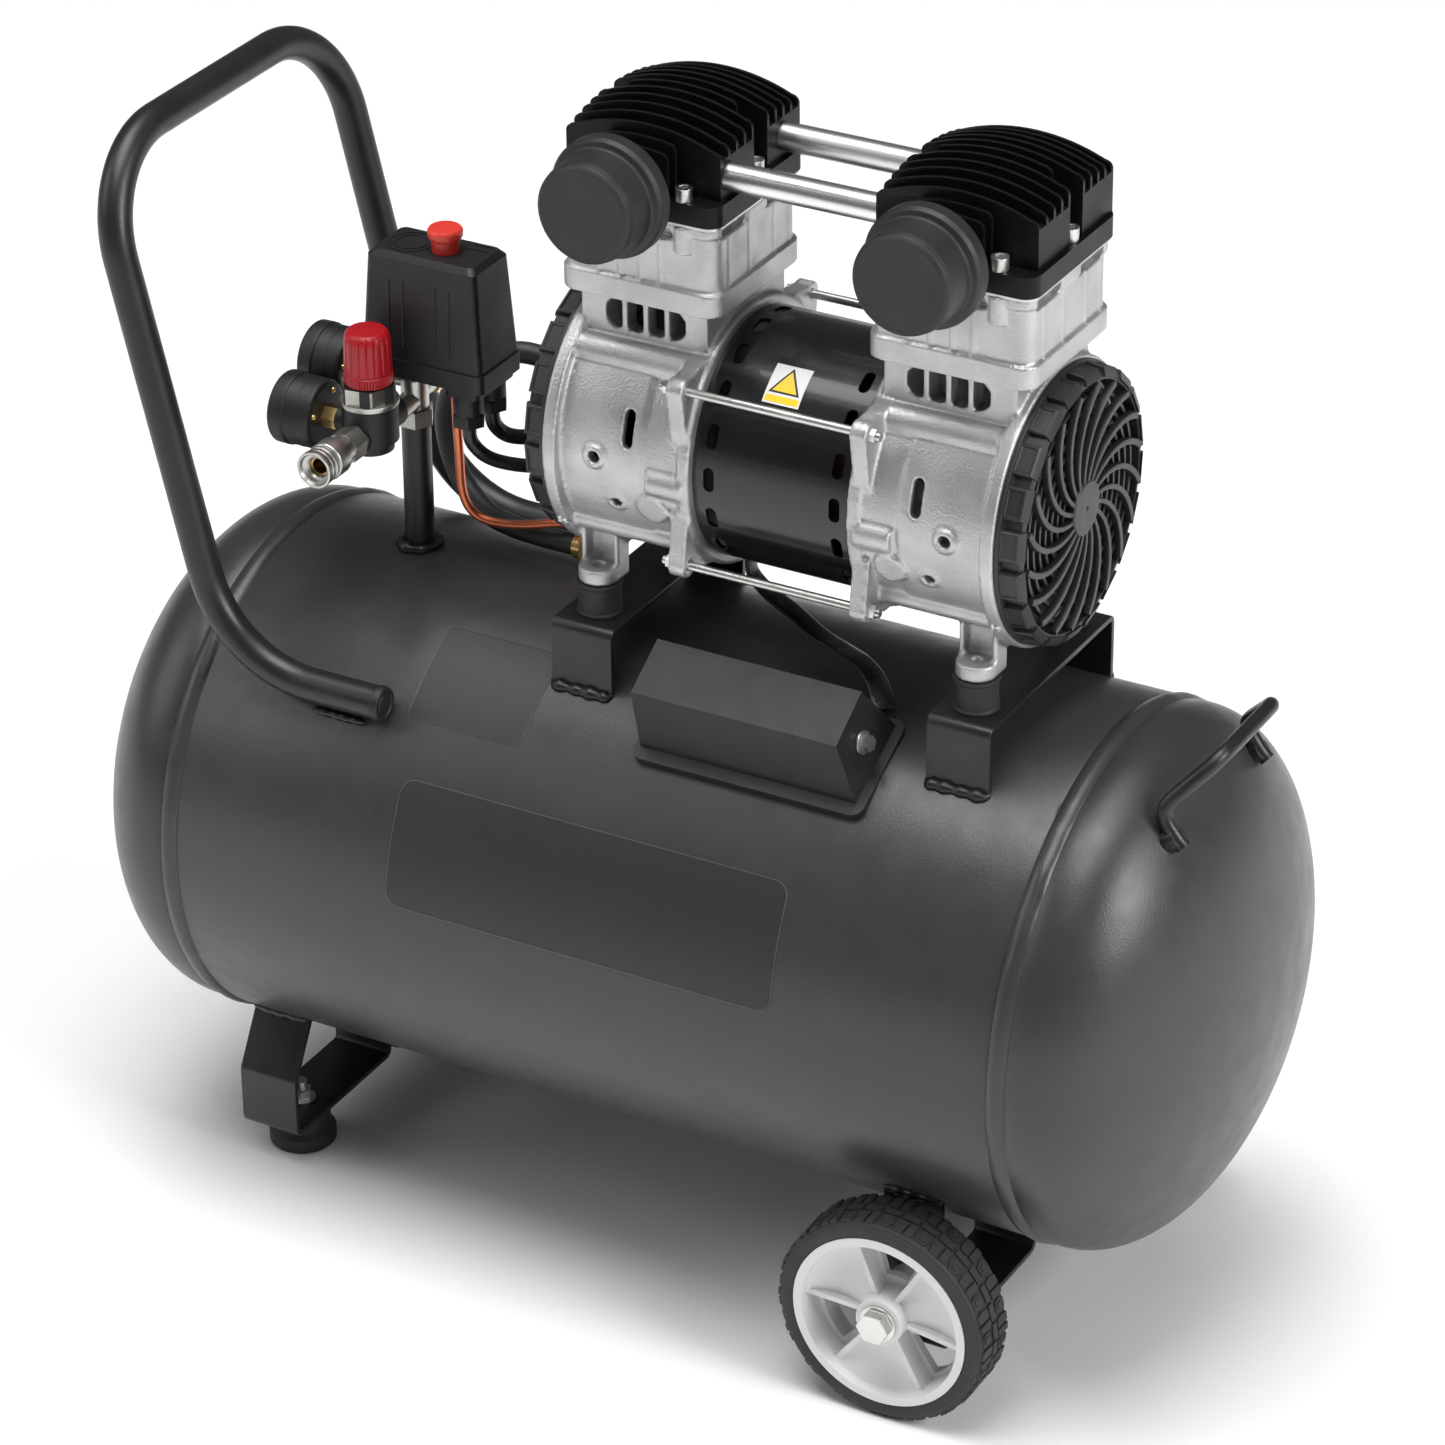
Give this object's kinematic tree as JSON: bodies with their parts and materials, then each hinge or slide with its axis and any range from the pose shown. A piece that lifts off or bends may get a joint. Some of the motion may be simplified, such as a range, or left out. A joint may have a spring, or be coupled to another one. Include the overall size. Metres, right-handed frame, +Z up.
{
  "type": "air compressor",
  "caption": "Wheeled air compressor: twin-cylinder oil-free pump on a horizontal tank, with tow handle, pressure switch, regulator, gauges and quick coupler.",
  "frame": {"origin": "on the floor, under the middle of the tank", "axes": "+X towards the wheel end, -Y towards the air outlet's side, +Z up"},
  "size_m": [0.706, 0.3364, 0.6945],
  "materials": {
    "tank_paint": "satin charcoal powder coat",
    "bracket_paint": "satin black powder coat",
    "zinc": "bright zinc plate",
    "rubber_black": "matt moulded rubber",
    "tyre_rubber": "matt solid tyre",
    "white_rim": "satin white polypropylene",
    "black_plastic": "fine grained black moulding",
    "cast_alloy": "fine blasted die casting",
    "head_paint": "satin black over casting",
    "polished_tube": "drawn and polished",
    "motor_gloss": "gloss black enamel",
    "lamination": "stacked lamination",
    "copper": "bright drawn copper",
    "steel": "ground steel",
    "nickel": "nickel plate",
    "brass": "machined brass",
    "red_knob": "satin crimson moulding",
    "orange_knob": "satin orange-red moulding",
    "lens": "clear lens",
    "capacitor_case": "drawn can",
    "contact_block": "phenolic block",
    "needle_red": "painted pointer"
  },
  "bodies": {
    "chassis": {"tank_shell": "tank_paint", "tank_heads": "tank_paint", "tow_handle": "bracket_paint", "handle_end_caps": "black_plastic", "lift_handle": "bracket_paint", "foot_brackets": "bracket_paint", "wheel_brackets": "bracket_paint", "rubber_feet": "rubber_black", "foot_bolts": "zinc", "axle_bolts": "zinc", "pump_brackets": "bracket_paint", "rubber_mounts": "rubber_black", "mount_studs": "zinc", "motor_shell": "motor_gloss", "stator_core": "lamination", "stator_windings": "copper", "shaft_bearings": "steel", "left_crankcase": "cast_alloy", "right_crankcase": "cast_alloy", "cylinder_blocks": "cast_alloy", "valve_plates": "steel", "cylinder_heads": "head_paint", "head_bolts": "zinc", "intake_filters": "black_plastic", "crossover_tubes": "polished_tube", "tie_rods": "zinc", "fan_covers": "black_plastic", "capacitor_box": "black_plastic", "capacitors": "capacitor_case", "switch_base": "black_plastic", "switch_cover": "black_plastic", "switch_contacts": "contact_block", "cable_glands": "black_plastic", "riser_pipe": "bracket_paint", "manifold": "nickel", "regulator_body": "black_plastic", "gauge_cases": "black_plastic", "gauge_lenses": "lens", "coupler_body": "nickel", "safety_valve": "brass", "check_valve": "brass", "delivery_hose": "rubber_black", "unloader_tube": "copper", "electric_leads": "black_plastic"},
    "front_wheel": {"front_wheel_rim": "white_rim", "front_wheel_tyre": "tyre_rubber"},
    "rear_wheel": {"rear_wheel_rim": "white_rim", "rear_wheel_tyre": "tyre_rubber"},
    "rotor": {"rotor_core": "lamination", "crankshaft": "steel", "cooling_fans": "black_plastic"},
    "left_piston_body": {"left_piston": "cast_alloy"},
    "right_piston_body": {"right_piston": "cast_alloy"},
    "switch_button": {"switch_knob": "orange_knob"},
    "pressure_knob": {"regulator_knob": "red_knob"},
    "outlet_needle": {"outlet_gauge_needle": "needle_red"},
    "tank_needle": {"tank_gauge_needle": "needle_red"},
    "quick_release": {"coupler_sleeve": "nickel"},
    "relief_pull": {"safety_valve_pull": "nickel"},
    "drain_tap": {"drain_valve": "brass"}
  },
  "joints": [
    {"name": "front_wheel_spin", "type": "hinge", "parent": "chassis", "child": "front_wheel", "pos_m": [0.197, -0.143, 0.064], "axis": [0, 1, 0], "continuous": true},
    {"name": "rear_wheel_spin", "type": "hinge", "parent": "chassis", "child": "rear_wheel", "pos_m": [0.197, 0.143, 0.064], "axis": [0, 1, 0], "continuous": true},
    {"name": "crankshaft_spin", "type": "hinge", "parent": "chassis", "child": "rotor", "pos_m": [0.083, 0, 0.502], "axis": [1, 0, 0], "continuous": true},
    {"name": "left_piston_stroke", "type": "slide", "parent": "chassis", "child": "left_piston_body", "axis": [0, 0, 1], "range_m": [-0.008, 0.008]},
    {"name": "right_piston_stroke", "type": "slide", "parent": "chassis", "child": "right_piston_body", "axis": [0, 0, 1], "range_m": [-0.008, 0.008]},
    {"name": "switch_knob_press", "type": "slide", "parent": "chassis", "child": "switch_button", "axis": [0, 0, -1], "range_m": [0, 0.006]},
    {"name": "regulator_turn", "type": "hinge", "parent": "chassis", "child": "pressure_knob", "pos_m": [-0.187, -0.042, 0.5], "axis": [0, 0, 1], "range_deg": [-540, 540]},
    {"name": "outlet_needle_swing", "type": "hinge", "parent": "chassis", "child": "outlet_needle", "pos_m": [-0.2295, -0.042, 0.471], "axis": [-1, 0, 0], "range_deg": [-270, 0]},
    {"name": "tank_needle_swing", "type": "hinge", "parent": "chassis", "child": "tank_needle", "pos_m": [-0.236, 0, 0.483], "axis": [-1, 0, 0], "range_deg": [-270, 0]},
    {"name": "coupler_release", "type": "slide", "parent": "chassis", "child": "quick_release", "axis": [0, 1, 0], "range_m": [0, 0.004], "stiffness_N_per_m": 800, "springref_m": -0.002},
    {"name": "relief_pull_out", "type": "slide", "parent": "chassis", "child": "relief_pull", "axis": [0, 1, 0], "range_m": [0, 0.004], "stiffness_N_per_m": 800, "springref_m": -0.002},
    {"name": "drain_turn", "type": "hinge", "parent": "chassis", "child": "drain_tap", "pos_m": [0, 0, 0.055], "axis": [0, 0, 1], "range_deg": [0, 720]}
  ]
}
